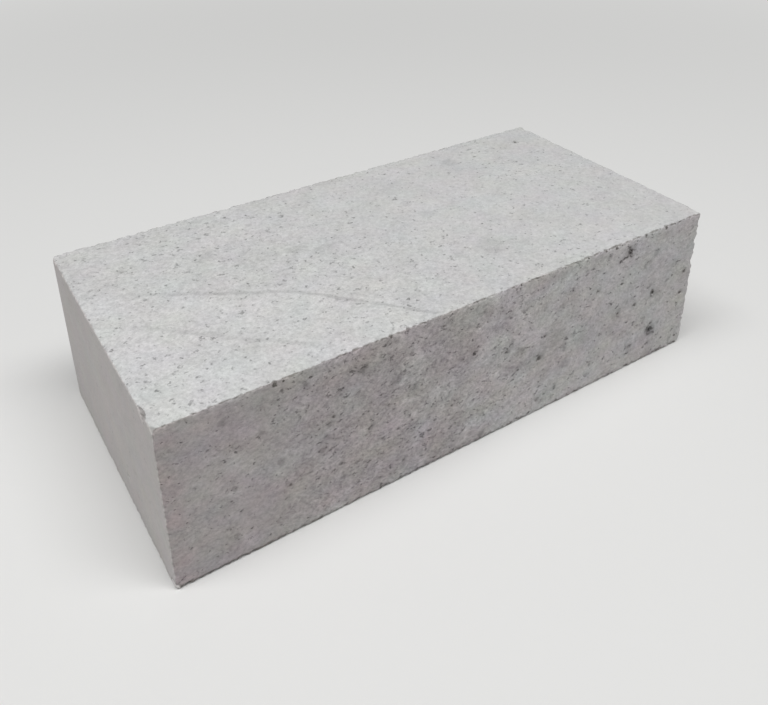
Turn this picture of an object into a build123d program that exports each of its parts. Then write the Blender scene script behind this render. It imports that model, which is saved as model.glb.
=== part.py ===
"""A solid sand-lime partition brick, lying flat on its bed as it would on a table.

The brick is one pressed block with six plain faces. Its arrises have crumbled a little, its
corners are knocked, and its faces are pitted where coarse grains have broken out. The origin is the
middle of the bottom bed. X runs along the length, Y through the width and Z up. The stretcher face
at -Y is the front, and the header at -X is the left one. All lengths are in millimetres.

A place on the brick is a distance from its left, front or bottom end. A negative place is measured
back from the right, back or top end.
"""

from build123d import *
import os

# Work size of the brick
length = 270.0
width = 130.0
height = 75.0

# The upright arris at the back left is rubbed round, and the mould leaves a fine round elsewhere
rubbed_arris = 3.0
fine_arris = 0.4

# How far a worn strip is carried past the two ends of its arris, so that it runs out at both
strip_overrun = 2.0

# Every arris has crumbled off evenly by a strip this wide
even_wear = 0.4

# Places along an arris are told apart to this many decimals, so that nicks which meet share one
arris_decimals = 2

# Nicks in each arris, named by its two faces: the place along it, how far the nick runs along it,
# and the width of the strip that is gone in its middle. A nick that reaches further on the second
# face has that reach as a fourth number
nicks = {
    ("top", "front"): [
        (2.5, 4.0, 1.0), (44.3, 3.2, 1.9), (52.0, 3.0, 0.9), (65.5, 7.0, 1.0), (77.0, 4.0, 1.1),
        (92.7, 3.6, 1.7), (101.0, 4.0, 1.0), (116.0, 5.0, 1.1), (130.0, 4.0, 1.2),
        (142.0, 8.0, 1.1), (157.3, 3.0, 1.2), (163.0, 3.0, 1.2), (174.0, 3.6, 1.0),
        (186.0, 4.0, 0.9), (-74.2, 3.0, 1.6), (-69.5, 5.0, 1.0), (-63.5, 3.2, 1.4),
        (-56.8, 4.4, 1.9), (-50.0, 4.0, 0.9), (-44.8, 3.6, 1.1), (-38.0, 3.0, 1.3),
        (-32.6, 4.0, 1.5), (-24.2, 3.4, 2.0), (-19.5, 2.6, 1.1), (-7.0, 5.0, 1.0),
    ],
    ("top", "left"): [
        (10.5, 9.6, 1.6, 5.0), (26.0, 3.0, 0.8), (39.0, 4.0, 1.1), (45.5, 3.0, 0.9),
        (60.0, 4.0, 0.8), (70.0, 3.6, 1.2), (77.5, 5.0, 1.1), (91.0, 4.0, 0.8), (-30.0, 3.6, 1.2),
        (-19.5, 5.0, 1.0), (-8.0, 4.0, 1.0),
    ],
    ("top", "back"): [
        (8.5, 4.0, 1.1), (16.0, 4.0, 0.9), (25.0, 6.0, 1.7), (32.2, 3.0, 1.0), (36.6, 3.4, 1.7),
        (42.5, 3.4, 1.6), (49.5, 3.0, 0.9), (55.0, 4.0, 1.2), (62.5, 5.0, 1.0), (70.5, 7.0, 1.3),
        (82.0, 7.0, 1.9), (91.5, 5.0, 1.0), (100.0, 5.0, 1.4), (108.5, 3.0, 0.9),
        (114.5, 5.0, 1.5), (121.5, 4.0, 1.2), (129.0, 4.0, 1.1), (138.0, 4.0, 1.1),
        (151.5, 6.0, 1.0), (161.0, 4.4, 1.4), (-97.0, 3.0, 0.9), (-88.0, 5.0, 0.9),
        (-68.5, 4.0, 1.2), (-61.0, 4.4, 1.1), (-54.5, 3.0, 1.0), (-33.0, 6.0, 0.9),
        (-6.0, 5.0, 1.1),
    ],
    ("top", "right"): [
        (4.0, 4.0, 1.3), (20.0, 4.0, 0.8), (51.0, 5.0, 1.1), (76.0, 3.6, 1.0), (-30.0, 5.0, 0.8),
        (-6.0, 4.0, 1.0),
    ],
    ("front", "right"): [
        (12.0, 4.0, 0.7), (27.5, 6.0, 0.8), (36.5, 4.0, 1.1), (43.5, 3.0, 0.8),
        (-26.3, 6.6, 2.2), (-20.6, 2.8, 1.5), (-15.3, 5.0, 2.1), (-9.8, 3.6, 1.3),
        (-5.0, 3.0, 1.2),
    ],
    ("front", "left"): [
        (7.0, 3.2, 1.6), (11.5, 3.0, 1.0), (24.0, 4.0, 0.9), (35.0, 3.0, 1.1), (40.5, 3.0, 1.2),
        (-27.0, 4.0, 1.1), (-14.0, 4.0, 0.9), (-4.0, 3.6, 1.0),
    ],
    ("back", "right"): [
        (5.0, 4.0, 1.1), (22.0, 4.0, 0.8), (34.0, 5.0, 1.3), (-20.0, 5.0, 1.0), (-5.0, 4.0, 1.1),
    ],
    ("bottom", "front"): [
        (4.5, 3.6, 1.8), (8.2, 2.6, 1.1), (11.2, 2.6, 1.2), (15.0, 3.2, 1.0), (19.0, 3.0, 1.1),
        (22.3, 2.8, 1.4), (26.6, 3.4, 1.7), (30.5, 2.8, 1.3), (40.0, 4.0, 0.8), (46.0, 3.0, 0.9),
        (62.0, 4.0, 0.8), (66.0, 3.0, 1.0), (84.0, 4.0, 0.9), (95.0, 3.0, 1.0),
        (130.0, 4.0, 1.0), (146.0, 6.0, 0.9), (-88.0, 4.0, 0.8), (-64.0, 5.0, 0.9),
        (-45.0, 4.0, 0.8), (-24.0, 5.0, 1.0),
    ],
    ("bottom", "left"): [
        (4.0, 4.0, 1.2), (14.0, 5.0, 0.8), (46.0, 4.0, 0.8), (75.0, 5.0, 1.0), (-22.0, 4.0, 1.0),
        (-10.0, 5.0, 1.5),
    ],
    ("bottom", "back"): [
        (6.0, 5.0, 1.2), (30.0, 5.0, 0.9), (52.0, 4.0, 0.8), (75.0, 6.0, 1.3), (110.0, 5.0, 0.9),
        (133.0, 4.0, 1.1), (-92.0, 5.0, 0.8), (-58.0, 6.0, 1.5), (-31.0, 5.0, 0.9),
        (-7.0, 5.0, 1.3),
    ],
    ("bottom", "right"): [
        (8.0, 4.0, 1.0), (26.0, 5.0, 0.8), (43.0, 5.0, 1.3), (-46.0, 5.0, 0.9), (-24.0, 5.0, 1.1),
        (-8.0, 4.0, 1.0),
    ],
}

# Corners that are knocked off, named by their three faces: the width and the depth of the break
knocked_corners = {
    ("left", "front", "bottom"): (4.4, 1.3),
    ("left", "back", "bottom"): (7.0, 2.2),
    ("left", "back", "top"): (5.0, 1.4),
    ("right", "front", "top"): (3.6, 0.9),
    ("right", "front", "bottom"): (6.5, 1.5),
    ("left", "front", "top"): (6.2, 2.0),
    ("right", "back", "bottom"): (6.0, 1.7),
}

# Outline of the crumb that a pit is left by, as its reach at even steps round, with its longest
# reach as 1, and how much narrower its floor is
crumb_reaches = [1.0, 0.72, 0.9, 0.6, 0.95, 0.8, 0.66]
crumb_floor = 0.45

# How far the next crumb is turned from the one before it, so that no two pits look alike
crumb_turn = 67.0

# Pits in each face: the place along it, the place across or up it, the width of the mouth and the
# depth
pits = {
    "front": [
        (4.6, -11.8, 1.8, 0.6),
        (47.5, 24.5, 3.4, 0.6),
        (67.0, -27.0, 3.0, 0.7),
        (76.0, 20.0, 2.6, 0.6),
        (79.8, -10.0, 2.4, 0.6),
        (119.0, 13.3, 2.2, 0.8),
        (124.0, 19.5, 3.4, 0.5),
        (134.0, -26.0, 3.8, 1.2),
        (-118.5, -33.0, 3.0, 0.8),
        (-109.0, -19.0, 2.5, 0.5),
        (-99.0, 30.5, 4.6, 0.9),
        (-98.0, 7.0, 5.2, 0.7),
        (-96.5, -33.5, 2.6, 0.9),
        (-65.5, 12.5, 4.0, 0.6),
        (-65.5, -21.5, 3.8, 0.6),
        (-52.5, -10.0, 3.4, 0.7),
        (-50.4, 36.0, 2.4, 0.8),
        (-50.0, -23.0, 3.0, 0.7),
        (-47.2, -7.0, 5.4, 1.4),
        (-39.0, 36.5, 3.6, 0.7),
        (-38.5, 12.0, 4.6, 0.9),
        (-27.5, -35.5, 4.6, 1.0),
        (-25.5, 8.5, 4.0, 0.8),
        (-25.2, 20.6, 2.6, 1.0),
        (-25.0, 16.8, 5.0, 1.8),
        (-6.0, 31.5, 3.0, 1.0),
        (-5.5, -31.5, 3.8, 0.9),
        (-4.2, 5.0, 2.6, 0.8),
    ],
    "back": [
        (18.0, 47.0, 2.6, 0.7),
        (31.0, -30.0, 4.8, 1.2),
        (34.5, -25.5, 2.6, 0.8),
        (36.5, 14.0, 3.4, 0.7),
        (63.0, -14.0, 2.2, 0.6),
        (88.0, 33.0, 4.0, 0.8),
        (-112.0, -12.0, 2.6, 0.7),
        (-74.0, 26.0, 3.6, 0.9),
        (-41.0, -22.0, 3.0, 0.6),
        (-12.0, 30.0, 2.4, 0.7),
    ],
    "right": [
        (-24.0, 52.0, 2.4, 0.6),
        (38.0, 21.0, 2.0, 0.5),
    ],
    "top": [
        (22.0, -30.0, 3.0, 0.6),
        (48.0, -52.0, 2.0, 0.5),
        (83.0, -37.0, 2.6, 0.6),
        (-134.5, 58.0, 2.0, 0.5),
        (-84.0, 63.0, 2.2, 0.5),
        (-50.0, 31.0, 2.2, 0.5),
        (-18.0, -16.0, 3.6, 0.8),
    ],
    "bottom": [
        (60.0, 35.0, 2.8, 0.6),
        (-92.0, -41.0, 3.2, 0.8),
        (-34.0, 52.0, 2.4, 0.5),
    ],
}

outward = {
    "left": Vector(-1, 0, 0),
    "right": Vector(1, 0, 0),
    "front": Vector(0, -1, 0),
    "back": Vector(0, 1, 0),
    "bottom": Vector(0, 0, -1),
    "top": Vector(0, 0, 1),
}


def measured(place, span):
    """A place as a distance from the near end, also where it is given back from the far end."""
    return place if place >= 0 else span + place


def on_box(direction):
    """The point of the brick's box that lies furthest out in these directions."""
    x, y, z = direction
    return Vector(x * length / 2, y * width / 2, height / 2 + z * height / 2)


def crumb(at, direction, mouth, depth, turn):
    """The angular crumb that leaves a pit of this width and depth, standing proud of its face."""
    face = Plane(origin=at, z_dir=direction)
    step = 360 / len(crumb_reaches)
    sections = []
    for rise, narrowing in ((depth, 1), (0, 1), (-depth, crumb_floor)):
        outline = []
        for index, reach in enumerate(crumb_reaches):
            corner = Vector(reach * narrowing * mouth / 2, 0).rotate(Axis.Z, turn + index * step)
            outline.append(corner)
        sections.append(face * Pos(0, 0, rise) * make_face(Polyline(*outline, close=True)))
    return loft(sections, ruled=True)


def scoop(at, direction, mouth, depth):
    """The ball that hollows out a spot of this width and depth, seen along its outward direction."""
    radius = (mouth**2 / 4 + depth**2) / (2 * depth)
    return Pos(at + direction.normalized() * (radius - depth)) * Sphere(radius)


def pressed_block():
    """The block before any wear, with the rubbed upright and its two beds rounded."""
    plan = Rectangle(length, width)
    rubbed_corner = plan.vertices().sort_by_distance(on_box((-1, 1, -1)))[0]
    block = extrude(fillet(rubbed_corner, rubbed_arris), height)
    beds = block.faces().filter_by(Axis.Z)
    return fillet(beds.edges(), fine_arris)


def worn_strip(one_face, other_face, places):
    """The wedge that has crumbled off the arris between two faces, wider at each nick."""
    one, other = outward[one_face], outward[other_face]
    along = Vector(*(abs(part) for part in one.cross(other)))
    span = along.dot(Vector(length, width, height))
    start = on_box(one + other - along)
    stations = [(-strip_overrun, even_wear, even_wear), (span + strip_overrun, even_wear, even_wear)]
    for place, run, strip, *further in places:
        middle = measured(place, span)
        for edge in (middle - run / 2, middle + run / 2):
            stations.append((edge, even_wear, even_wear))
        stations.append((middle, strip, further[0] if further else strip))
    widest = {}
    for place, strip, reach in stations:
        place = round(place, arris_decimals)
        widest[place] = max(widest.get(place, (0, 0)), (strip, reach))
    sections = []
    for place, (strip, reach) in sorted(widest.items()):
        at = start + along * place
        corners = [at - one * reach, at - other * strip, at + (one + other) * reach]
        sections.append(make_face(Polyline(*corners, close=True)))
    return loft(sections, ruled=True)


def knocked_corner(faces, mouth, depth):
    """The hollow where the corner between three faces is broken off."""
    direction = sum((outward[face] for face in faces), Vector(0, 0, 0))
    return scoop(on_box(direction), direction, mouth, depth)


def on_face(face, along, across):
    """The point at this place along a face and across or up it."""
    at = on_box(outward[face])
    if face in ("left", "right"):
        at.Y = measured(along, width) - width / 2
    else:
        at.X = measured(along, length) - length / 2
    if face in ("top", "bottom"):
        at.Y = measured(across, width) - width / 2
    else:
        at.Z = measured(across, height)
    return at


brick = pressed_block()
for (one_face, other_face), places in nicks.items():
    brick -= worn_strip(one_face, other_face, places)
for faces, (mouth, depth) in knocked_corners.items():
    brick -= knocked_corner(faces, mouth, depth)
for face, holes in pits.items():
    for number, (along, across, mouth, depth) in enumerate(holes):
        at = on_face(face, along, across)
        brick -= crumb(at, outward[face], mouth, depth, number * crumb_turn)

os.makedirs("parts", exist_ok=True)
export_step(brick, "parts/brick.step")
print("volume in cubic centimetres:", round(brick.volume / 1000, 1))
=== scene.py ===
"""Models and dresses a pressed sand-lime brick, and lays it on a pale table under soft light.

The block starts as a copy of the built solid, so its size, worn arrises and main pits are those of
the frame. Smaller pits are cut into its faces, crumbs are knocked off its arrises, and its skin is
rebuilt and roughened to a sandy grain. Faces are named as a bricklayer names them: two beds, two
stretchers and two headers, with the front stretcher at -Y and the left header at -X.
"""

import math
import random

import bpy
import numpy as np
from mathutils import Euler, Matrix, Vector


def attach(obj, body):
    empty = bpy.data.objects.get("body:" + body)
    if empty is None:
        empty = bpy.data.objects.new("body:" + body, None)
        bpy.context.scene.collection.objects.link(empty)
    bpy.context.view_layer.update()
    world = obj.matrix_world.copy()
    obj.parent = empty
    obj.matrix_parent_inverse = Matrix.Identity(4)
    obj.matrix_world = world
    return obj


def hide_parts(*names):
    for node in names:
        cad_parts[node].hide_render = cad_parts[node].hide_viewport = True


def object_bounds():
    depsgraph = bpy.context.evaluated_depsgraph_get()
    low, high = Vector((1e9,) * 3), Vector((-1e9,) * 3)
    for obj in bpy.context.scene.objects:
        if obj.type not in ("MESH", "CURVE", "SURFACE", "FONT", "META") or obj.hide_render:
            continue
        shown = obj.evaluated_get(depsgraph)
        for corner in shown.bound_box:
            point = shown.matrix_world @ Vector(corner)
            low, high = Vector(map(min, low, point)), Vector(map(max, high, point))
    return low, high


bl_info = {
    "name": "Sand-lime brick",
    "version": (1, 0, 0),
    "blender": (4, 5, 0),
    "location": "3D View > Sidebar > Brick",
    "description": "Models a pressed sand-lime brick with its pits, worn arrises and sandy grain",
    "category": "Object",
}

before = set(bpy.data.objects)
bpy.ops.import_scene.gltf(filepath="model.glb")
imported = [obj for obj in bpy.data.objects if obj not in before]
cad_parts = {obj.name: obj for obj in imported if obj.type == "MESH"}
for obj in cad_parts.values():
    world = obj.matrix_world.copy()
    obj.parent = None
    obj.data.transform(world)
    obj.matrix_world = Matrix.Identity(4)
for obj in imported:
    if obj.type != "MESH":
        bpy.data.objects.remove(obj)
solid_low, solid_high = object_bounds()

MM = 0.001
AXES = "XYZ"

# A point counts as sunk once it lies this deep under its own face
SUNK = 0.25 * MM

# Points of one pit's floor lie within this distance of each other
PIT_FLOOR = 2.4 * MM

# Small pits keep this far from the edges of their face
PIT_MARGIN = 2.0 * MM

# Crumbs and small pits stay apart by this share of their two reaches, so that no two touch
CRUMB_CLEARANCE = 1.35

# How many kinds of crumb there are
CRUMB_KINDS = 6

# The least reach of a crumb that has come away beside a pit
LEAST_CRUMB = 0.45 * MM

# How much less the short arrises crumble than the long ones
SHORT_ARRIS_CRUMBLE = 0.45

# Sizes of the blots of relief: along the arrises, in the pits' floors, in the faces' grain and in
# their long waves
CRUMBLE_SIZE = 2.0 * MM
FLOOR_SIZE = 0.9 * MM
GRAIN_SIZE = 1.1 * MM
WAVE_SIZE = 35 * MM


class BrickShape(bpy.types.PropertyGroup):
    """Sizes of the relief that the pressed block has on top of the built solid."""

    seed: bpy.props.IntProperty(
        name="Seed", description="Draws the places of the small pits and crumbs", default=11
    )
    stretcher_pits: bpy.props.IntProperty(
        name="Pits in a stretcher", description="Small pits in each long side face", default=70
    )
    bed_pits: bpy.props.IntProperty(
        name="Pits in a bed", description="Small pits in the top and in the bottom", default=26
    )
    header_pits: bpy.props.IntProperty(
        name="Pits in a header", description="Small pits in each end face", default=4
    )
    pit_widening: bpy.props.FloatProperty(
        name="Pit widening",
        description="How much wider than its floor the mouth of a large pit is",
        default=2.2,
    )
    pit_crumbs: bpy.props.IntProperty(
        name="Crumbs round a pit", description="Small crumbs gone round each large pit", default=6
    )
    pit_spread: bpy.props.FloatProperty(
        name="Pit spread",
        description="How far out they lie, as a share of the reach of the pit's mouth",
        default=1.3,
    )
    crumb_spacing: bpy.props.FloatProperty(
        name="Crumb spacing",
        description="Mean distance between the crumbs missing from an arris",
        default=3.6 * MM,
        unit="LENGTH",
    )
    skin_step: bpy.props.FloatProperty(
        name="Skin step",
        description="Spacing of the points that the skin is rebuilt with",
        default=0.45 * MM,
        unit="LENGTH",
    )
    arris_band: bpy.props.FloatProperty(
        name="Arris band",
        description="How far in from an arris the skin is crumbly",
        default=1.8 * MM,
        unit="LENGTH",
    )
    arris_crumble: bpy.props.FloatProperty(
        name="Arris crumble",
        description="How deep the crumbly skin along the long arrises goes in",
        default=0.9 * MM,
        unit="LENGTH",
    )
    pit_crumble: bpy.props.FloatProperty(
        name="Pit crumble",
        description="How deep the broken floor of a pit goes in",
        default=0.8 * MM,
        unit="LENGTH",
    )
    stretcher_grain: bpy.props.FloatProperty(
        name="Stretcher grain",
        description="Depth of the sandy grain in the long side faces",
        default=0.02 * MM,
        unit="LENGTH",
    )
    smooth_share: bpy.props.FloatProperty(
        name="Smooth share",
        description="Grain of the beds and headers as a share of the stretchers' grain",
        default=0.3,
        subtype="FACTOR",
    )
    face_wave: bpy.props.FloatProperty(
        name="Face wave",
        description="How far a face dips between its high spots",
        default=0.12 * MM,
        unit="LENGTH",
    )
    triangles: bpy.props.IntProperty(
        name="Triangles", description="Triangles that the finished block keeps", default=190000
    )


class BrickFinish(bpy.types.PropertyGroup):
    """Colours and grain of the sand-lime mix, and the colour of its painted shade."""

    bed_colour: bpy.props.FloatVectorProperty(
        name="Bed colour",
        description="The top and bottom, rubbed pale",
        default=(0.592, 0.592, 0.588),
        subtype="COLOR",
    )
    header_colour: bpy.props.FloatVectorProperty(
        name="Header colour",
        description="The smooth end faces",
        default=(0.592, 0.566, 0.556),
        subtype="COLOR",
    )
    # The stretcher colours are darker than the bed and header colours, partly the pitted faces'
    # own tone and partly painted shade for their dimmer light
    warm_shaded_colour: bpy.props.FloatVectorProperty(
        name="Warm colour",
        description="The stretchers at the left end",
        default=(0.440, 0.410, 0.410),
        subtype="COLOR",
    )
    cool_shaded_colour: bpy.props.FloatVectorProperty(
        name="Cool colour",
        description="The stretchers at the right end",
        default=(0.530, 0.514, 0.514),
        subtype="COLOR",
    )
    pink_shaded_colour: bpy.props.FloatVectorProperty(
        name="Pink colour",
        description="The stretchers next to the left upright arris",
        default=(0.450, 0.388, 0.392),
        subtype="COLOR",
    )
    # Painted shade: the dark colour laid into the hearts of pits and nicks, under the lower arris
    # of the stretchers and in a ring round the pale corner
    painted_shade_colour: bpy.props.FloatVectorProperty(
        name="Pit colour",
        description="The shaded floor of a pit",
        default=(0.200, 0.186, 0.172),
        subtype="COLOR",
    )
    fresh_colour: bpy.props.FloatVectorProperty(
        name="Fresh colour",
        description="The pale inside of the brick where a corner broke off",
        default=(0.80, 0.76, 0.76),
        subtype="COLOR",
    )
    grit_contrast: bpy.props.FloatProperty(
        name="Grit contrast",
        description="How far single grains of sand and lime differ in the stretchers",
        default=1.9,
    )
    mottle_contrast: bpy.props.FloatProperty(
        name="Mottle contrast",
        description="How far broad patches of the mix differ in the stretchers",
        default=0.45,
    )
    grit_relief: bpy.props.FloatProperty(
        name="Grit relief",
        description="Depth of the finest grain in the stretchers",
        default=0.6 * MM,
        unit="LENGTH",
    )


class StageSettings(bpy.types.PropertyGroup):
    """The table, the light and the camera."""

    table_colour: bpy.props.FloatVectorProperty(
        name="Table colour",
        description="Plain pale colour of the table",
        default=(0.80, 0.80, 0.79),
        subtype="COLOR",
    )
    table_radius: bpy.props.FloatProperty(
        name="Table radius",
        description="Radius of the round table top",
        default=3.0,
        unit="LENGTH",
    )
    sky_strength: bpy.props.FloatProperty(
        name="Sky strength", description="Light from all round", default=0.20
    )
    lamp_power: bpy.props.FloatProperty(
        name="Lamp power",
        description="Power of the soft lamp overhead",
        default=32.0,
        unit="POWER",
    )
    lamp_length: bpy.props.FloatProperty(
        name="Lamp length", description="Length of the soft lamp", default=2.4, unit="LENGTH"
    )
    lamp_width: bpy.props.FloatProperty(
        name="Lamp width", description="Width of the soft lamp", default=0.6, unit="LENGTH"
    )
    lamp_place: bpy.props.FloatVectorProperty(
        name="Lamp place",
        description="Middle of the soft lamp",
        default=(-0.20, -0.35, 1.8),
        subtype="TRANSLATION",
    )
    camera_place: bpy.props.FloatVectorProperty(
        name="Camera place",
        description="Where the camera stands",
        default=(-0.18476, -0.28109, 0.26511),
        subtype="TRANSLATION",
    )
    camera_turn: bpy.props.FloatVectorProperty(
        name="Camera turn",
        description="How the camera is turned about X, Y and Z",
        default=(math.radians(64.123), math.radians(0.271), math.radians(-32.975)),
        subtype="EULER",
    )
    camera_lens: bpy.props.FloatProperty(
        name="Camera lens", description="Focal length in millimetres", default=39.547
    )
    camera_shift: bpy.props.FloatProperty(
        name="Camera shift",
        description="Upward shift of the picture, as a share of its width",
        default=-0.2246,
    )


def select_only(piece):
    """Selects one object and makes it the active one."""
    bpy.ops.object.select_all(action="DESELECT")
    piece.select_set(True)
    bpy.context.view_layer.objects.active = piece


def apply_modifier(piece, kind, **settings):
    """Adds a modifier of this kind with these settings and applies it."""
    select_only(piece)
    modifier = piece.modifiers.new(kind.capitalize(), kind)
    for name, value in settings.items():
        setattr(modifier, name, value)
    bpy.ops.object.modifier_apply(modifier=modifier.name)


def copy_of_solid(node, name):
    """A copy of a built solid as one closed mesh."""
    piece = bpy.data.objects.new(name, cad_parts[node].data.copy())
    bpy.context.scene.collection.objects.link(piece)
    select_only(piece)
    bpy.ops.object.mode_set(mode="EDIT")
    bpy.ops.mesh.select_all(action="SELECT")
    bpy.ops.mesh.remove_doubles(threshold=0.001 * MM)
    bpy.ops.object.mode_set(mode="OBJECT")
    bpy.ops.mesh.customdata_custom_splitnormals_clear()
    return piece


def angular_crumb(seed):
    """A crumb of unit size: a coarse ball whose corners are pushed out of round."""
    bpy.ops.object.select_all(action="DESELECT")
    bpy.ops.mesh.primitive_ico_sphere_add(subdivisions=1, radius=1.0)
    bpy.ops.object.mode_set(mode="EDIT")
    bpy.ops.mesh.select_all(action="SELECT")
    bpy.ops.transform.vertex_random(offset=0.3, seed=seed)
    bpy.ops.object.mode_set(mode="OBJECT")
    return bpy.context.active_object


def scattered_pits(shape, draw):
    """Places of the small pits, as point, outward normal, reach and depth."""
    counts = {"X": shape.header_pits, "Y": shape.stretcher_pits, "Z": shape.bed_pits}
    for axis, name in enumerate(AXES):
        for side, level in ((-1, solid_low[axis]), (1, solid_high[axis])):
            normal = Vector((0, 0, 0))
            normal[axis] = side
            for _ in range(counts[name]):
                point = Vector(
                    draw.uniform(low + PIT_MARGIN, high - PIT_MARGIN)
                    for low, high in zip(solid_low, solid_high)
                )
                point[axis] = level
                reach = (0.55 + 0.9 * draw.random() ** 3) * MM
                depth = reach * draw.uniform(0.5, 0.9)
                yield point, normal, reach, depth


def solid_pits(block, shape):
    """The solid's own pits: middle of the floor, outward normal, reach of the mouth and depth."""
    points = places(block)
    inset = insets(points)
    sunk, from_arris = ordered(inset)
    loose = np.flatnonzero((sunk > 0.3 * MM) & (from_arris - sunk > 1.5 * MM))
    pits = []
    while len(loose):
        near = np.linalg.norm(points[loose] - points[loose[0]], axis=1) < PIT_FLOOR
        floor, loose = loose[near], loose[~near]
        middle = Vector(points[floor].mean(axis=0))
        axis = int(inset[floor[0]].argmin())
        normal = Vector((0, 0, 0))
        normal[axis] = 1 if middle[axis] > (solid_low[axis] + solid_high[axis]) / 2 else -1
        reach = np.linalg.norm(points[floor] - np.array(middle), axis=1).max()
        pits.append((middle, normal, float(reach) * shape.pit_widening, float(sunk[floor].mean())))
    return pits


def crumbs_round_pits(pits, shape, draw):
    """Places of the small crumbs that have come away round the solid's own pits."""
    for middle, normal, mouth, _ in pits:
        for _ in range(shape.pit_crumbs):
            shift = Vector([draw.uniform(-1, 1) for _ in AXES]) * mouth * shape.pit_spread
            place = middle + shift - shift.dot(normal) * normal
            for axis in range(3):
                if normal[axis]:
                    place[axis] = (solid_low, solid_high)[normal[axis] > 0][axis]
            reach = max(LEAST_CRUMB, draw.uniform(0.22, 0.5) * mouth)
            yield place, normal, reach, reach * draw.uniform(0.4, 0.8)


def crumbled(points, pits):
    """How far each point belongs to a pit and its crumbled surroundings, from 0 to 1."""
    share = np.zeros(len(points), np.float32)
    for middle, _, mouth, depth in pits:
        distance = np.linalg.norm(points - np.array(middle), axis=1)
        strength = min(1.0, 0.45 + depth / (2.5 * MM))
        share = np.maximum(share, strength * np.clip(2.0 - distance / mouth, 0, 1))
    return share


def missing_crumbs(shape, draw):
    """Places of the crumbs that are gone from the arrises, as point, normal, reach and depth."""
    for axis in range(3):
        across = [other for other in range(3) if other != axis]
        for sides in ((0, 0), (0, 1), (1, 0), (1, 1)):
            point = Vector(solid_low)
            normal = Vector((0, 0, 0))
            for other, side in zip(across, sides):
                point[other] = (solid_low, solid_high)[side][other]
                normal[other] = side * 2 - 1
            place = solid_low[axis]
            while True:
                place += draw.uniform(0.4, 1.6) * shape.crumb_spacing
                if place > solid_high[axis]:
                    break
                point[axis] = place
                reach = (0.7 + 0.9 * draw.random() ** 2) * MM
                yield point.copy(), normal.normalized(), reach, reach * draw.uniform(0.6, 1.0)


def crumb_cutter(pits, shape):
    """All the small pits and missing crumbs as one cutter, none of them touching another."""
    draw = random.Random(shape.seed)
    stock = [angular_crumb(seed) for seed in range(1, CRUMB_KINDS + 1)]
    wanted = [
        *crumbs_round_pits(pits, shape, draw),
        *missing_crumbs(shape, draw),
        *scattered_pits(shape, draw),
    ]
    placed = []
    copies = []
    for point, normal, reach, depth in wanted:
        clear = all(
            (point - other).length > CRUMB_CLEARANCE * (reach + spread) for other, spread in placed
        )
        if not clear:
            continue
        placed.append((point, reach))
        crumb = stock[len(placed) % len(stock)]
        mesh = crumb.data.copy()
        turned = Euler([draw.uniform(0, 2 * math.pi) for _ in AXES]).to_matrix().to_4x4()
        stretch = Matrix.Diagonal((reach, reach * draw.uniform(0.6, 1.0), depth, 1))
        facing = normal.to_track_quat("Z", "Y").to_matrix().to_4x4()
        mesh.transform(Matrix.Translation(point) @ facing @ stretch @ turned)
        copy = bpy.data.objects.new("crumb", mesh)
        bpy.context.scene.collection.objects.link(copy)
        copies.append(copy)
    bpy.ops.object.select_all(action="DESELECT")
    for crumb in stock:
        bpy.data.objects.remove(crumb)
    for copy in copies:
        copy.select_set(True)
    bpy.context.view_layer.objects.active = copies[0]
    bpy.ops.object.join()
    return copies[0]


def places(piece):
    """The piece's points as an array."""
    flat = np.empty(len(piece.data.vertices) * 3, np.float32)
    piece.data.vertices.foreach_get("co", flat)
    return flat.reshape(-1, 3)


def insets(points):
    """How far each point lies in from the nearer header, stretcher and bed."""
    return np.minimum(points - np.array(solid_low), np.array(solid_high) - points)


def ordered(inset):
    """How far each point is sunk under its own face, and how far it is from the nearest arris."""
    ranked = np.sort(inset, axis=1)
    return ranked[:, 0], ranked[:, 1]


def mark(piece, name, weight):
    """Adds a vertex group with these weights, in tenths."""
    group = piece.vertex_groups.new(name=name)
    tenths = np.rint(np.clip(weight, 0, 1) * 10).astype(int)
    for tenth in range(1, 11):
        group.add(np.flatnonzero(tenths == tenth).tolist(), tenth / 10, "REPLACE")
    return group.name


def cloud(name, size, depth=2, dark=0.0, light=1.0):
    """A cloudy texture whose blots are about this large, cut off below dark and above light."""
    texture = bpy.data.textures.new(name, "CLOUDS")
    texture.noise_scale = size
    texture.noise_depth = depth
    texture.noise_basis = "BLENDER_ORIGINAL"
    texture.use_color_ramp = True
    first, last = texture.color_ramp.elements
    first.position = dark
    last.position = light
    return texture


def dip(piece, texture, depth, group=""):
    """Sinks the skin by up to this depth where the texture is dark, and never raises it."""
    apply_modifier(
        piece,
        "DISPLACE",
        texture=texture,
        texture_coords="LOCAL",
        direction="NORMAL",
        mid_level=1.0,
        strength=depth,
        vertex_group=group,
    )


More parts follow.
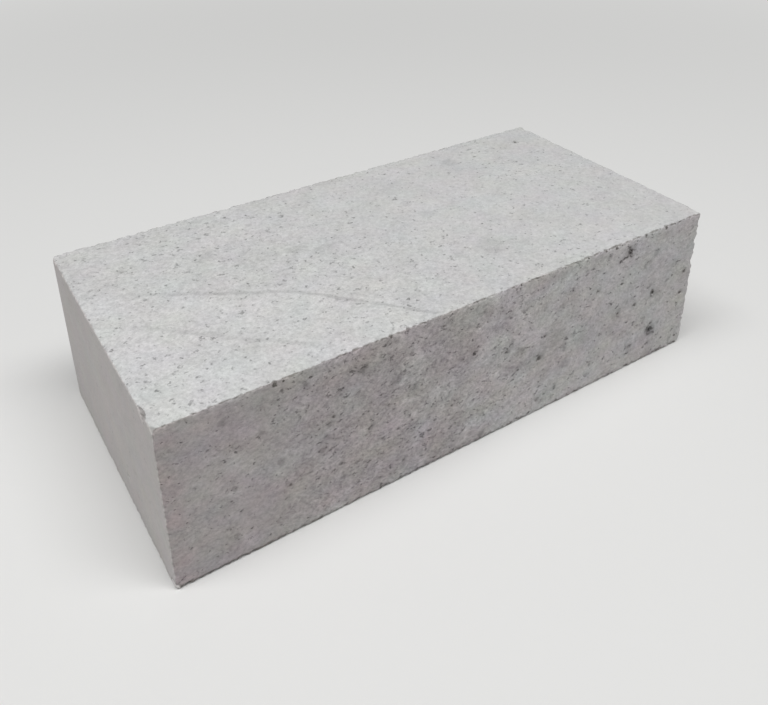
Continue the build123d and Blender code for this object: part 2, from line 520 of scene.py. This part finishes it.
class BRICK_OT_block(bpy.types.Operator):
    """Model the pressed block with its pits, worn arrises and sandy skin"""

    bl_idname = "brick.block"
    bl_label = "Model the block"

    def execute(self, context):
        shape = context.scene.brick_shape
        block = copy_of_solid("brick", "pressed_block")
        pits = solid_pits(block, shape)
        cutter = crumb_cutter(pits, shape)
        apply_modifier(block, "BOOLEAN", operation="DIFFERENCE", solver="EXACT", object=cutter)
        bpy.data.objects.remove(cutter)
        apply_modifier(block, "REMESH", mode="VOXEL", voxel_size=shape.skin_step)

        # Where the skin is to crumble, and where it keeps its points when it is thinned
        inset = insets(places(block))
        sunk, from_arris = ordered(inset)
        nearest = inset.argmin(axis=1)
        edge = 1 - from_arris / shape.arris_band
        runs_long = inset[:, 0] > from_arris + MM
        crumbly = edge * np.where(runs_long, 1.0, SHORT_ARRIS_CRUMBLE)
        pitted = ((sunk - SUNK) / (0.4 * MM)) * (crumbled(places(block), pits) > 0)
        arris_group = mark(block, "arris", crumbly)
        pit_group = mark(block, "pits", pitted)
        face_group = mark(block, "grain", np.where(nearest == 1, 1.0, shape.smooth_share))
        sinking = (sunk - SUNK) / (0.2 * MM)
        close_to_arris = (1.0 * MM - from_arris) / (0.4 * MM)
        keep_group = mark(block, "keep", np.maximum(close_to_arris, sinking))
        crumble = cloud("crumble", CRUMBLE_SIZE, dark=0.3, light=0.55)
        dip(block, crumble, shape.arris_crumble, arris_group)
        floor = cloud("pit", FLOOR_SIZE, dark=0.3, light=0.6)
        dip(block, floor, shape.pit_crumble, pit_group)
        dip(block, cloud("grain", GRAIN_SIZE, depth=1), shape.stretcher_grain, face_group)
        dip(block, cloud("wave", WAVE_SIZE, depth=1), shape.face_wave)
        block.data.calc_loop_triangles()
        share = shape.triangles / len(block.data.loop_triangles)
        apply_modifier(
            block,
            "DECIMATE",
            decimate_type="COLLAPSE",
            ratio=min(1, share),
            vertex_group=keep_group,
            invert_vertex_group=True,
            vertex_group_factor=1e-6,
        )
        block.vertex_groups.clear()
        attribute = block.data.attributes.new("crumbled", "FLOAT", "POINT")
        attribute.data.foreach_set("value", crumbled(places(block), pits))
        bpy.ops.object.shade_smooth()
        block.data.materials.clear()
        block.data.materials.append(sand_lime(context.scene.brick_finish))
        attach(block, "root")
        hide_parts("brick")
        return {"FINISHED"}


class Value:
    """A number that varies over the surface. Arithmetic on it adds Math nodes."""

    def __init__(self, sheet, socket):
        self.sheet = sheet
        self.socket = socket

    def maths(self, operation, *numbers):
        settings = {"operation": operation}
        return self.sheet.node("ShaderNodeMath", settings, dict(enumerate(numbers)))

    def __add__(self, other):
        return self.maths("ADD", self, other)

    def __radd__(self, other):
        return self.maths("ADD", other, self)

    def __sub__(self, other):
        return self.maths("SUBTRACT", self, other)

    def __rsub__(self, other):
        return self.maths("SUBTRACT", other, self)

    def __mul__(self, other):
        return self.maths("MULTIPLY", self, other)

    def __rmul__(self, other):
        return self.maths("MULTIPLY", other, self)

    def __truediv__(self, other):
        return self.maths("DIVIDE", self, other)

    def __abs__(self):
        return self.maths("ABSOLUTE", self)

    def least(self, other):
        return self.maths("MINIMUM", self, other)

    def most(self, other):
        return self.maths("MAXIMUM", self, other)

    def ramp(self, start, end):
        """0 where the value is at or before start and 1 at or past end, with a soft change."""
        sockets = {"Value": self, "From Min": start, "From Max": end}
        return self.sheet.node("ShaderNodeMapRange", {"interpolation_type": "SMOOTHSTEP"}, sockets)


class Sheet:
    """The nodes of one material or world."""

    def __init__(self, tree):
        self.tree = tree
        tree.nodes.clear()

    def node(self, kind, settings=None, sockets=None, out=0):
        """Adds a node, sets it up, fills its sockets and gives back one of its outputs."""
        node = self.tree.nodes.new(kind)
        for name, value in (settings or {}).items():
            setattr(node, name, value)
        for name, value in (sockets or {}).items():
            if isinstance(value, Value):
                self.tree.links.new(value.socket, node.inputs[name])
            else:
                node.inputs[name].default_value = value
        return Value(self, node.outputs[out]) if node.outputs else None

    def outputs(self, value, *names):
        """Other outputs of the node that a value comes from."""
        return [Value(self, value.socket.node.outputs[name]) for name in names]

    def noise(self, place, size, detail=2.0, roughness=0.5, out=0):
        """Soft noise whose blots are about this many millimetres, from 0 to 1."""
        settings = {"noise_dimensions": "3D", "normalize": True}
        sockets = {"Vector": place, "Scale": 1 / size, "Detail": detail, "Roughness": roughness}
        return self.node("ShaderNodeTexNoise", settings, sockets, out=out)

    def distance(self, place, point):
        """How far the surface is from a point."""
        settings = {"operation": "DISTANCE"}
        return self.node("ShaderNodeVectorMath", settings, {0: place, 1: point}, out="Value")

    def mix(self, share, first, second):
        """One colour turning into another as the share goes from 0 to 1."""
        settings = {"data_type": "RGBA", "blend_type": "MIX", "clamp_factor": True}
        sockets = {0: share, 6: first, 7: second}
        return self.node("ShaderNodeMix", settings, sockets, out=2)

    def scaled(self, colour, factor):
        """A colour made lighter or darker by a factor."""
        sockets = {0: colour, "Scale": factor}
        return self.node("ShaderNodeVectorMath", {"operation": "SCALE"}, sockets)


# Soft darker stains on the top bed, in millimetres: the place along it and across it, and the
# radius
BED_STAINS = [
    (54, 91, 9), (92, 76, 6), (104, 69, 6), (160, 71, 5), (157, 85, 4.5), (166, 30, 10),
    (150, 32, 5), (204, 112, 5), (21, 100, 3), (84, 108, 3),
]

# Mottled spots on the front stretcher, in millimetres: the place along it and up it, and the
# radius
FRONT_SPOTS = [
    (24, 66, 2.2), (56, 68, 2.2), (80, 64.5, 2.6), (38, 55, 1.2), (65, 45, 2.0), (64, 40, 3.4),
    (62, 34, 3.0), (70, 57, 1.2), (69.5, 24, 1.6), (70.5, 16.5, 1.6), (96, 53, 2.6),
    (103, 45, 3.6), (102, 62, 1.2), (92, 20, 1.2), (87, 6.5, 1.4), (107.5, 18.5, 1.5),
    (127, 49, 1.6), (154, 46, 1.6), (160, 40, 1.8), (186, 30.5, 2.4), (191, 35, 1.8),
    (182, 10.5, 1.8), (203, 8, 1.8), (209, 41, 1.4), (209.5, 70, 1.8), (225, 41, 2.4),
    (234.5, 56.5, 1.8), (241, 61.5, 2.4), (240, 44, 1.8), (239, 24.5, 2.2), (250, 19, 1.4),
    (252, 43, 1.6), (261, 5, 1.8), (140, 3.5, 1.8), (195.5, 67.5, 1.4), (188, 61, 1.4),
    (26, 35, 1.4), (11, 15.5, 1.6), (25, 12, 1.4), (84, 36, 2.4), (44, 38, 2.0),
]

# Painted shade in nicks of the front stretcher's upper arris, in millimetres: the place along it,
# the height and the radius
SHADED_NICK_SPOTS = [
    (44.3, 73.9, 1.1), (47.5, 73.6, 0.5), (50.5, 74.4, 0.5), (92.7, 74.2, 0.8), (157.3, 74.0, 0.5),
    (195.8, 74.0, 0.8), (206.5, 73.9, 0.8), (213.2, 73.2, 1.3), (216.5, 73.8, 0.6),
    (232.0, 74.1, 0.8), (237.0, 74.2, 0.6), (245.8, 74.4, 1.1), (249.5, 74.8, 0.7),
]

# Sizes of the blots of the mix, in millimetres, from single grains to broad patches
GRIT_SIZE = 1.7
SPECK_SIZE = 2.3
HOLLOW_SIZE = 3.4
MOTTLE_SIZE = 9.0
CAST_SIZE = 14.0
PATCH_SIZE = 26.0

# The blots are longer along the brick and flatter than they are wide. They are turned as well, so
# that no face lies along their own grid
BLOT_SCALE = (0.80, 0.90, 1.15)
BLOT_TURN = (0.6, 0.4, 0.8)

# One face takes over from the next within this distance of their arris, in millimetres
FACE_BLEND = 0.2

# How much darker each kind of mark is than the mix round it, and the most that all together reach.
# Specks and spots are the mix's own; the marks for small holes, halos round pits, the smoothed
# nick and the nicks are painted shade
STRETCHER_SPECK_DARKNESS = 0.40
BED_SPECK_DARKNESS = 0.30
HALO_SHADE_DARKNESS = 0.22
SPOT_DARKNESS = 0.30
NICK_SHADE_DARKNESS = 0.42
NOTCH_SHADE_DARKNESS = 0.2
MOST_DARKNESS = 0.6


class BrickSheet(Sheet):
    """The nodes of the brick's material, with places in millimetres and masks of its parts."""

    def __init__(self, tree):
        super().__init__(tree)
        self.place = self.scaled(self.node("ShaderNodeTexCoord", out="Object"), 1 / MM)
        self.x = self.node("ShaderNodeSeparateXYZ", None, {0: self.place})
        self.y, self.z = self.outputs(self.x, "Y", "Z")
        self.length, self.width, self.height = (span / MM for span in solid_high - solid_low)
        self.along = self.x + self.length / 2
        self.across = self.y + self.width / 2
        self.tell_faces()
        self.tell_wear()
        self.spread_blots()

    def tell_faces(self):
        """Finds how far in from each kind of face a point lies, and which kind it belongs to."""
        self.from_header = self.length / 2 - abs(self.x)
        self.from_stretcher = self.width / 2 - abs(self.y)
        self.from_bed = self.z.least(self.height - self.z)
        tilt = self.node("ShaderNodeTexCoord", out="Normal")
        upright, = self.outputs(self.node("ShaderNodeSeparateXYZ", None, {0: tilt}), "Z")
        nearer_bed = self.from_header.least(self.from_stretcher) - self.from_bed
        nearer_stretcher = self.from_header.least(self.from_bed) - self.from_stretcher
        self.bed = nearer_bed.ramp(-FACE_BLEND, FACE_BLEND) * abs(upright).ramp(0.35, 0.65)
        self.stretcher = nearer_stretcher.ramp(-FACE_BLEND, FACE_BLEND)

    def tell_wear(self):
        """Finds how far a point is sunk, and whether it is on an arris, in a pit or in a nick."""
        header, stretcher, bed = self.from_header, self.from_stretcher, self.from_bed
        self.sunk = header.least(stretcher).least(bed)
        from_arris = header.most(stretcher).least(header.least(stretcher).most(bed))
        self.arris = from_arris.ramp(1.4, 0.3)
        off_arris = (from_arris - self.sunk).ramp(0.8, 1.6)
        # The long nick in the left header's top arris was smoothed with the header
        corner = self.distance(self.place, (-self.length / 2, -self.width / 2, self.height))
        self.smoothed = corner.ramp(18, 15) * header.ramp(2.4, 1.8)
        # Masks of where shade is painted: the pits, and below, the sunk part of the nicks along
        # the long arrises
        self.pitted = self.sunk.ramp(0.25, 0.8) * off_arris * (1 - self.smoothed)
        off_header = (header - stretcher).ramp(0.5, 1.5)
        self.nick = self.sunk.ramp(0.25, 0.65) * (1 - off_arris) * off_header
        self.near_pit = self.node("ShaderNodeAttribute", {"attribute_name": "crumbled"}, out="Fac")

    def spread_blots(self):
        """Lays out the blots of the mix, and how speckled and how smooth its parts are."""
        multiply = {"operation": "MULTIPLY"}
        drawn_out = self.node("ShaderNodeVectorMath", multiply, {0: self.place, 1: BLOT_SCALE})
        by_angles = {"rotation_type": "EULER_XYZ"}
        turned = {0: drawn_out, "Rotation": BLOT_TURN}
        self.flat = self.node("ShaderNodeVectorRotate", by_angles, turned)
        self.grit = self.noise(self.flat, GRIT_SIZE, detail=2.0, roughness=0.9) - 0.5
        self.mottle = self.noise(self.flat, MOTTLE_SIZE, detail=1.0, roughness=0.9) - 0.5
        self.speck = self.noise(self.flat, SPECK_SIZE, detail=2.0, roughness=0.75)
        self.hollow = self.noise(self.flat, HOLLOW_SIZE, detail=3.0, roughness=0.75)
        self.patch = self.noise(self.place, PATCH_SIZE, detail=2.0) - 0.5
        self.speckled = self.along.ramp(25, 75) * (1 - 0.52 * self.along.ramp(120, 210))
        self.right_part = self.along.ramp(90, 210)
        self.smoother = (self.along + 0.6 * self.across).ramp(120, 220)

    def on_front(self, along, up):
        """A point of the front stretcher."""
        return along - self.length / 2, -self.width / 2, up

    def on_top(self, along, across):
        """A point of the top bed."""
        return along - self.length / 2, across - self.width / 2, self.height

    def strongest(self, marks, on_face, strength):
        """The strongest of several round marks on a face, given as two places and a radius."""
        found = 0.0 * self.x
        for along, other, radius in marks:
            away = self.distance(self.place, on_face(along, other))
            found = found.most(strength(away, radius))
        return found


def grain_strength(brick):
    """How strongly the grain shows: most on the stretchers and arrises, least on the headers."""
    stretcher = 0.36 + 0.28 * brick.speckled - 0.08 * brick.right_part
    rough = 0.14 + stretcher * brick.stretcher
    rough = rough + (0.28 - 0.12 * brick.smoother) * brick.bed
    return rough.most(0.6 * brick.arris * (1 - brick.smoothed))


def painted_nick_shade(brick):
    """Painted shade in the hearts of the nicks in the front stretcher's upper arris, ragged as the
    mix is.
    """
    ragged = brick.mottle + 3.0 * (brick.speck - 0.5)
    return brick.strongest(
        SHADED_NICK_SPOTS,
        brick.on_front,
        lambda away, radius: (away + ragged * radius).ramp(1.1 * radius, 0.4 * radius),
    )


def dark_marks_and_shade(brick, nick_shade):
    """How much darker each point is for its specks and spots, and for the painted shade in its
    small holes, round its pits, in the smoothed nick and in its nicks.
    """
    speck, hollow, stretcher = brick.speck, brick.hollow, brick.stretcher
    dense = speck + 0.10 * brick.patch
    on_stretcher = (dense + 0.040 * brick.speckled - 0.034).ramp(0.59, 0.70) * stretcher
    on_bed = (dense - 0.022 * brick.smoother).ramp(0.60, 0.71) * brick.bed
    # Painted shade in small holes, most of them towards the right end
    hollow_shade = hollow.ramp(0.60, 0.69) * stretcher * (0.08 + 0.24 * brick.right_part)
    # Painted shade round the solid's pits, where their skin is crumbled
    halo_shade = (brick.near_pit + (hollow - 0.5) * 1.6).ramp(0.55, 0.95)
    spotted = brick.strongest(
        FRONT_SPOTS, brick.on_front, lambda away, radius: 1 - away / (1.5 * radius)
    )
    spotted = (spotted + (speck - 0.5) * 2.0 + (hollow - 0.5) * 2.0).ramp(0.25, 0.85)
    specks = on_stretcher * STRETCHER_SPECK_DARKNESS + on_bed * BED_SPECK_DARKNESS
    dark = specks + hollow_shade + HALO_SHADE_DARKNESS * halo_shade + SPOT_DARKNESS * spotted
    # Painted shade in the sunk part of the smoothed nick by the left top corner
    dark = dark + NOTCH_SHADE_DARKNESS * brick.smoothed * brick.sunk.ramp(0.3, 0.8)
    return dark + NICK_SHADE_DARKNESS * nick_shade


def top_bed_tone(brick):
    """How light the top bed is: its drag lines, the paler part before them, streaks and stains."""
    along, across, mottle = brick.along, brick.across, brick.mottle
    # Each line as how far behind the point it lies: the first one turns at a corner of its own
    first = (92.0 - 0.6 * along).least(133.0 - 1.13 * along) - across
    second = 71.0 - 0.92 * along - across
    first_line = abs(first + mottle * 2.5).ramp(2.2, 0.3)
    first_line = first_line * along.ramp(8, 34) * along.ramp(122, 110)
    second_line = abs(second + mottle * 4).ramp(3.0, 0.4)
    second_line = second_line * along.ramp(8, 22) * along.ramp(78, 60)
    x, y = brick.x, brick.y
    drawn = {"X": (0.8 * x + 0.6 * y) / 3, "Y": 0.8 * y - 0.6 * x, "Z": brick.z}
    streaked = brick.node("ShaderNodeCombineXYZ", None, drawn)
    streak = brick.noise(streaked, 7.0, detail=2.0).ramp(0.52, 0.72)
    stained = brick.strongest(
        BED_STAINS,
        brick.on_top,
        lambda away, radius: (away + brick.patch * radius).ramp(radius, 0.3 * radius),
    )
    marks = 0.14 * first_line + 0.10 * second_line + 0.05 * streak + 0.085 * stained
    top = brick.bed * brick.z.ramp(brick.height / 2, brick.height / 2 + 1)
    return 1 + top * (0.05 * first.ramp(-2, 8) - 0.02 - marks)


def ground_colour(brick, finish, nick_shade):
    """The colour of the mix, by face, with its painted shade, before its grain and marks make it
    lighter or darker.
    """
    along, speck, stretcher = brick.along, brick.speck, brick.stretcher
    painted_shade_colour = (*finish.painted_shade_colour, 1)
    # The stretchers are coloured darker than the beds and headers, partly as painted shade for
    # their dimmer light
    warmth = (brick.patch * 1.6 + brick.mottle * 0.8 + along / brick.length).ramp(0.1, 0.9)
    front = brick.mix(warmth, (*finish.warm_shaded_colour, 1), (*finish.cool_shaded_colour, 1))
    ground = brick.mix(brick.bed, (*finish.header_colour, 1), (*finish.bed_colour, 1))
    ground = brick.mix(stretcher, ground, front)
    pink = stretcher * along.ramp(10, 4) * (0.5 + 2.0 * brick.mottle)
    ground = brick.mix(pink, ground, (*finish.pink_shaded_colour, 1))

    # Painted shade: the hearts of pits and nicks, and the broken lower arris of the stretchers,
    # are painted dark in the shade colour
    ragged = brick.z + 3.0 * (0.5 - speck)
    broken = (speck + 0.22 * along.ramp(60, 25)).ramp(0.46, 0.60)
    foot_shadow = ragged.ramp(2.2, 1.0) * stretcher * broken
    core = brick.near_pit + (speck - 0.5) * 1.4 + (brick.hollow - 0.5) * 1.4
    shade = (brick.pitted * (0.35 + 1.8 * (speck - 0.5))).most(0.54 * core.ramp(0.85, 1.25))
    shade = shade.most(0.7 * brick.nick).most(0.85 * foot_shadow).most(0.9 * nick_shade)
    ground = brick.mix(shade, ground, painted_shade_colour)

    # The corner at the left, the front and the bottom broke off lately and is still pale, with a
    # thin ring of painted shadow round it
    pale_middle = (-brick.length / 2 - 0.6, 1.7 - brick.width / 2, 1.1)
    away = brick.distance(brick.place, pale_middle)
    ground = brick.mix(0.4 * away.ramp(3.6, 3.0), ground, painted_shade_colour)
    ground = brick.mix(0.95 * away.ramp(3.0, 2.4), ground, (*finish.fresh_colour, 1))

    # A faint cast of colour that comes and goes, stronger on the stretchers
    cast = brick.noise(brick.flat, CAST_SIZE, detail=2.0, out="Color")
    multiply = {"operation": "MULTIPLY"}
    tinted = brick.scaled(brick.node("ShaderNodeVectorMath", multiply, {0: ground, 1: cast}), 2.0)
    return brick.mix(0.035 + 0.035 * stretcher, ground, tinted)


def sand_lime(finish):
    """The brick's material: pale lime and sand, pitted on the stretchers, rubbed on the beds, with
    shade painted into its pits and nicks.
    """
    material = bpy.data.materials.new("sand_lime")
    material.use_nodes = True
    brick = BrickSheet(material.node_tree)
    rough = grain_strength(brick)
    nick_shade = painted_nick_shade(brick)
    dark = dark_marks_and_shade(brick, nick_shade)
    contrast = brick.grit * finish.grit_contrast + brick.mottle * finish.mottle_contrast
    grain = 1 + rough * contrast + brick.patch * 0.12
    tone = grain * (1 - dark.least(MOST_DARKNESS)) * top_bed_tone(brick)
    colour = brick.scaled(ground_colour(brick, finish, nick_shade), tone)
    relief = 0.15 * brick.grit * rough - 0.7 * dark
    bump = brick.node(
        "ShaderNodeBump",
        None,
        {"Strength": 1.0, "Distance": finish.grit_relief, "Height": relief},
    )
    shader = brick.node(
        "ShaderNodeBsdfPrincipled",
        None,
        {"Base Color": colour, "Roughness": 0.92, "Specular IOR Level": 0.25, "Normal": bump},
    )
    brick.node("ShaderNodeOutputMaterial", None, {"Surface": shader})
    return material


def plain_table(stage):
    """The table's material, which turns into the pale background far away from the brick."""
    material = bpy.data.materials.new("pale_table")
    material.use_nodes = True
    sheet = Sheet(material.node_tree)
    metres = sheet.node("ShaderNodeTexCoord", out="Object")
    radius = sheet.node("ShaderNodeVectorMath", {"operation": "LENGTH"}, {0: metres}, out="Value")
    far = radius.ramp(0.3, 0.5 * stage.table_radius)
    seen = sheet.node("ShaderNodeLightPath", out="Is Camera Ray")
    colour = (*stage.table_colour, 1)
    matt = sheet.node(
        "ShaderNodeBsdfPrincipled",
        None,
        {"Base Color": colour, "Roughness": 0.9, "Specular IOR Level": 0.1},
    )
    glow = sheet.node("ShaderNodeEmission", None, {"Color": colour, "Strength": 1.0})
    surface = sheet.node("ShaderNodeMixShader", None, {0: far * seen, 1: matt, 2: glow})
    sheet.node("ShaderNodeOutputMaterial", None, {"Surface": surface})
    return material


def pale_world(stage):
    """Soft light from all round, seen by the camera as the same pale colour as the table."""
    world = bpy.data.worlds.new("pale_world")
    world.use_nodes = True
    sheet = Sheet(world.node_tree)
    seen = sheet.node("ShaderNodeLightPath", out="Is Camera Ray")
    light = sheet.node(
        "ShaderNodeBackground", None, {"Color": (1, 1, 1, 1), "Strength": stage.sky_strength}
    )
    backdrop = sheet.node(
        "ShaderNodeBackground", None, {"Color": (*stage.table_colour, 1), "Strength": 1.0}
    )
    surface = sheet.node("ShaderNodeMixShader", None, {0: seen, 1: light, 2: backdrop})
    sheet.node("ShaderNodeOutputWorld", None, {"Surface": surface})
    return world


class BRICK_OT_stage(bpy.types.Operator):
    """Lay out the pale table, the soft lamp and the camera"""

    bl_idname = "brick.stage"
    bl_label = "Set the stage"

    def execute(self, context):
        scene = context.scene
        stage = scene.brick_stage
        bpy.ops.object.select_all(action="DESELECT")
        bpy.ops.mesh.primitive_circle_add(
            vertices=96, radius=stage.table_radius, fill_type="NGON", location=(0, 0, solid_low.z)
        )
        table = context.active_object
        table.name = "table"
        table.data.materials.append(plain_table(stage))
        scene.world = pale_world(stage)

        lamp_data = bpy.data.lights.new("soft_lamp", "AREA")
        lamp_data.shape = "RECTANGLE"
        lamp_data.size = stage.lamp_length
        lamp_data.size_y = stage.lamp_width
        lamp_data.energy = stage.lamp_power
        lamp = bpy.data.objects.new("soft_lamp", lamp_data)
        lamp.location = stage.lamp_place
        lamp.rotation_euler = Vector(stage.lamp_place).to_track_quat("Z", "Y").to_euler()
        scene.collection.objects.link(lamp)

        camera_data = bpy.data.cameras.new("camera")
        camera_data.lens = stage.camera_lens
        camera_data.shift_y = stage.camera_shift
        camera_data.clip_start = 0.01
        camera = bpy.data.objects.new("camera", camera_data)
        camera.location = stage.camera_place
        camera.rotation_euler = stage.camera_turn
        scene.collection.objects.link(camera)
        scene.camera = camera
        scene.view_settings.view_transform = "Standard"
        return {"FINISHED"}


class BRICK_PT_panel(bpy.types.Panel):
    """Lists the steps that make the brick and its stage"""

    bl_idname = "BRICK_PT_panel"
    bl_label = "Sand-lime brick"
    bl_space_type = "VIEW_3D"
    bl_region_type = "UI"
    bl_category = "Brick"

    def draw(self, context):
        scene = context.scene
        for settings in (scene.brick_shape, scene.brick_finish, scene.brick_stage):
            box = self.layout.box()
            for name in settings.__annotations__:
                box.prop(settings, name)
        self.layout.operator(BRICK_OT_block.bl_idname)
        self.layout.operator(BRICK_OT_stage.bl_idname)


CLASSES = (BrickShape, BrickFinish, StageSettings, BRICK_OT_block, BRICK_OT_stage, BRICK_PT_panel)


def register():
    for entry in CLASSES:
        bpy.utils.register_class(entry)
    bpy.types.Scene.brick_shape = bpy.props.PointerProperty(type=BrickShape)
    bpy.types.Scene.brick_finish = bpy.props.PointerProperty(type=BrickFinish)
    bpy.types.Scene.brick_stage = bpy.props.PointerProperty(type=StageSettings)


def unregister():
    del bpy.types.Scene.brick_stage
    del bpy.types.Scene.brick_finish
    del bpy.types.Scene.brick_shape
    for entry in reversed(CLASSES):
        bpy.utils.unregister_class(entry)


def main():
    register()
    bpy.ops.brick.block()
    bpy.ops.brick.stage()


if __name__ == "__main__":
    main()
